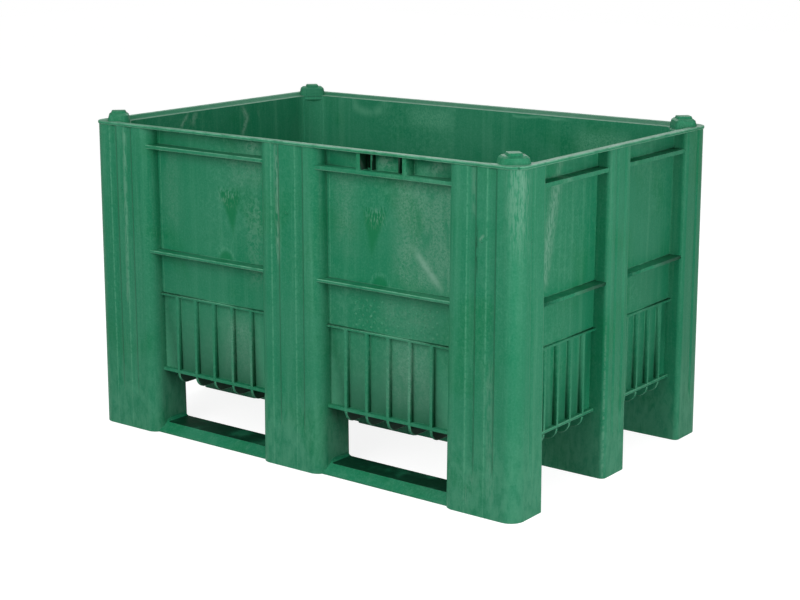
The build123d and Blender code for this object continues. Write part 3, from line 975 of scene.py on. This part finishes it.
def dots_tree(material):
    """Geometry nodes that lay out a staggered field of flat domes, facing -Y."""
    tree = bpy.data.node_groups.new("raised_dots", "GeometryNodeTree")
    face = tree.interface
    sizes = {
        "Columns": ("NodeSocketInt", dot_columns),
        "Rows": ("NodeSocketInt", dot_rows),
        "Pitch": ("NodeSocketFloat", dot_pitch),
        "Row Pitch": ("NodeSocketFloat", dot_row_pitch),
        "Dot Radius": ("NodeSocketFloat", dot_radius),
        "Dot Height": ("NodeSocketFloat", dot_height),
        "Middle": ("NodeSocketVector", (0, 0, 0)),
    }
    for label, (kind, value) in sizes.items():
        face.new_socket(label, in_out="INPUT", socket_type=kind).default_value = value
    face.new_socket("Geometry", in_out="OUTPUT", socket_type="NodeSocketGeometry")
    given = tree.nodes.new("NodeGroupInput").outputs

    def spread(count, pitch):
        """The span of a row of points."""
        return calculate(tree, "MULTIPLY", calculate(tree, "SUBTRACT", count, 1), pitch)

    grid = add_node(tree, "GeometryNodeMeshGrid", {
        "Size X": spread(given["Columns"], given["Pitch"]),
        "Size Y": spread(given["Rows"], given["Row Pitch"]),
        "Vertices X": given["Columns"],
        "Vertices Y": given["Rows"],
    }).outputs["Mesh"]
    row = calculate(tree, "MODULO", tree.nodes.new("GeometryNodeInputIndex").outputs[0], given["Rows"])
    odd = calculate(tree, "MODULO", row, 2)
    either_way = calculate(tree, "SUBTRACT", odd, 0.5)
    stagger = calculate(tree, "MULTIPLY", either_way, product(tree, given["Pitch"], 0.5))
    jitter = add_node(
        tree,
        "FunctionNodeRandomValue",
        {"Min": (-dot_jitter, -dot_jitter, 0), "Max": (dot_jitter, dot_jitter, 0), "Seed": dot_seed},
        data_type="FLOAT_VECTOR",
    ).outputs["Value"]
    shift = add_node(tree, "ShaderNodeCombineXYZ", {0: stagger}).outputs[0]
    offset = add_node(tree, "ShaderNodeVectorMath", {0: shift, 1: jitter}, operation="ADD").outputs[0]
    points = add_node(tree, "GeometryNodeSetPosition", {"Geometry": grid, "Offset": offset}).outputs[0]
    dome = add_node(
        tree,
        "GeometryNodeMeshUVSphere",
        {"Segments": dot_segments, "Rings": dot_rings, "Radius": given["Dot Radius"]},
    ).outputs["Mesh"]
    flat = calculate(tree, "DIVIDE", given["Dot Height"], given["Dot Radius"])
    squash = add_node(tree, "ShaderNodeCombineXYZ", {0: 1.0, 1: 1.0, 2: flat}).outputs[0]
    dots = add_node(
        tree,
        "GeometryNodeInstanceOnPoints",
        {"Points": points, "Instance": dome, "Scale": squash},
    ).outputs[0]
    solid = add_node(tree, "GeometryNodeRealizeInstances", {"Geometry": dots}).outputs[0]
    upright = add_node(
        tree,
        "GeometryNodeTransform",
        {"Geometry": solid, "Translation": given["Middle"], "Rotation": (radians(90), 0, 0)},
    ).outputs[0]
    smooth = add_node(tree, "GeometryNodeSetShadeSmooth", {"Geometry": upright}).outputs[0]
    dressed = add_node(tree, "GeometryNodeSetMaterial", {"Geometry": smooth, "Material": material}).outputs[0]
    end = tree.nodes.new("NodeGroupOutput")
    tree.links.new(dressed, end.inputs["Geometry"])
    return tree


def make_dots():
    """A field of raised dots on the front right panel."""
    point, _ = on_surface("front_right_panel", (dot_middle[0], -1, dot_middle[1]), (0, 1, 0))
    piece = new_piece("raised_dots", bmesh.new(), finishes["dot"])
    layout = piece.modifiers.new("layout", "NODES")
    layout.node_group = dots_tree(finishes["dot"])
    for item in layout.node_group.interface.items_tree:
        if item.in_out == "INPUT" and item.name == "Middle":
            layout[item.identifier] = tuple(point)
    settle(piece)


make_nubs()
make_slot_shade_plates()
make_dots()


def floor_material():
    """White to the camera with a faint shadow, and a mid grey to every other ray."""
    material = bpy.data.materials.new("white_floor")
    material.use_nodes = True
    tree = material.node_tree
    tree.nodes.clear()
    path = add_node(tree, "ShaderNodeLightPath").outputs
    seen = calculate(tree, "MAXIMUM", path["Is Camera Ray"], path["Is Glossy Ray"])
    seen = calculate(tree, "MAXIMUM", seen, path["Is Transmission Ray"])
    glow = add_node(tree, "ShaderNodeEmission", {"Color": (1, 1, 1, 1), "Strength": floor_glow}).outputs[0]
    shadow = add_node(tree, "ShaderNodeBsdfDiffuse", {"Color": (floor_shade,) * 3 + (1,)}).outputs[0]
    shown = add_node(tree, "ShaderNodeAddShader", {0: glow, 1: shadow}).outputs[0]
    bounce = add_node(tree, "ShaderNodeBsdfDiffuse", {"Color": (floor_bounce,) * 3 + (1,)}).outputs[0]
    whole = add_node(tree, "ShaderNodeMixShader", {0: seen, 1: bounce, 2: shown}).outputs[0]
    add_node(tree, "ShaderNodeOutputMaterial", {"Surface": whole})
    return material


def make_floor():
    """A wide level floor just under the box."""
    mesh = bpy.data.meshes.new("floor")
    corners = [(x * floor_half, y * floor_half, -floor_drop) for x, y in ((-1, -1), (1, -1), (1, 1), (-1, 1))]
    mesh.from_pydata(corners, [], [(0, 1, 2, 3)])
    mesh.materials.append(floor_material())
    floor = bpy.data.objects.new("floor", mesh)
    bpy.context.scene.collection.objects.link(floor)


def make_world():
    """White behind the box for the camera, and a soft grey sky for the light."""
    world = bpy.data.worlds.new("studio")
    bpy.context.scene.world = world
    world.use_nodes = True
    tree = world.node_tree
    tree.nodes.clear()
    path = add_node(tree, "ShaderNodeLightPath").outputs
    seen = calculate(tree, "MAXIMUM", path["Is Camera Ray"], path["Is Transmission Ray"])
    white = add_node(tree, "ShaderNodeBackground", {"Color": (1, 1, 1, 1), "Strength": 1.0}).outputs[0]
    sky = add_node(tree, "ShaderNodeBackground", {"Color": (1, 1, 1, 1), "Strength": sky_level}).outputs[0]
    whole = add_node(tree, "ShaderNodeMixShader", {0: seen, 1: sky, 2: white}).outputs[0]
    add_node(tree, "ShaderNodeOutputWorld", {"Surface": whole})


def outward(azimuth, elevation):
    """The direction from the box towards an azimuth and an elevation, in radians."""
    return Vector((sin(azimuth) * cos(elevation), -cos(azimuth) * cos(elevation), sin(elevation)))


def make_softbox(name, azimuth, elevation, distance, size, power):
    """A square soft light that looks at the box from an azimuth and an elevation in degrees."""
    lamp = bpy.data.lights.new(name, "AREA")
    lamp.shape = "SQUARE"
    lamp.size = size
    lamp.energy = power
    back = outward(radians(azimuth), radians(elevation))
    softbox = bpy.data.objects.new(name, lamp)
    softbox.location = camera_target + back * distance
    softbox.rotation_mode = "QUATERNION"
    softbox.rotation_quaternion = (-back).to_track_quat("-Z", "Y")
    bpy.context.scene.collection.objects.link(softbox)


def make_camera():
    """The camera, placed from its azimuth, elevation, distance and pan."""
    back = outward(camera_azimuth, camera_elevation)
    right = Vector((cos(camera_azimuth), sin(camera_azimuth), 0))
    up = back.cross(right)
    data = bpy.data.cameras.new("camera")
    data.sensor_fit = "HORIZONTAL"
    data.sensor_width = sensor_width
    data.lens = focal_pixels / image_width * sensor_width
    camera = bpy.data.objects.new("camera", data)
    place = camera_target + back * camera_distance + right * camera_pan[0] + up * camera_pan[1]
    camera.matrix_world = Matrix.Translation(place) @ Matrix((right, up, back)).transposed().to_4x4()
    bpy.context.scene.collection.objects.link(camera)
    bpy.context.scene.camera = camera


make_floor()
make_world()
for name, setting in softboxes.items():
    make_softbox(name, **setting)
make_camera()
bpy.context.scene.view_settings.view_transform = "Standard"
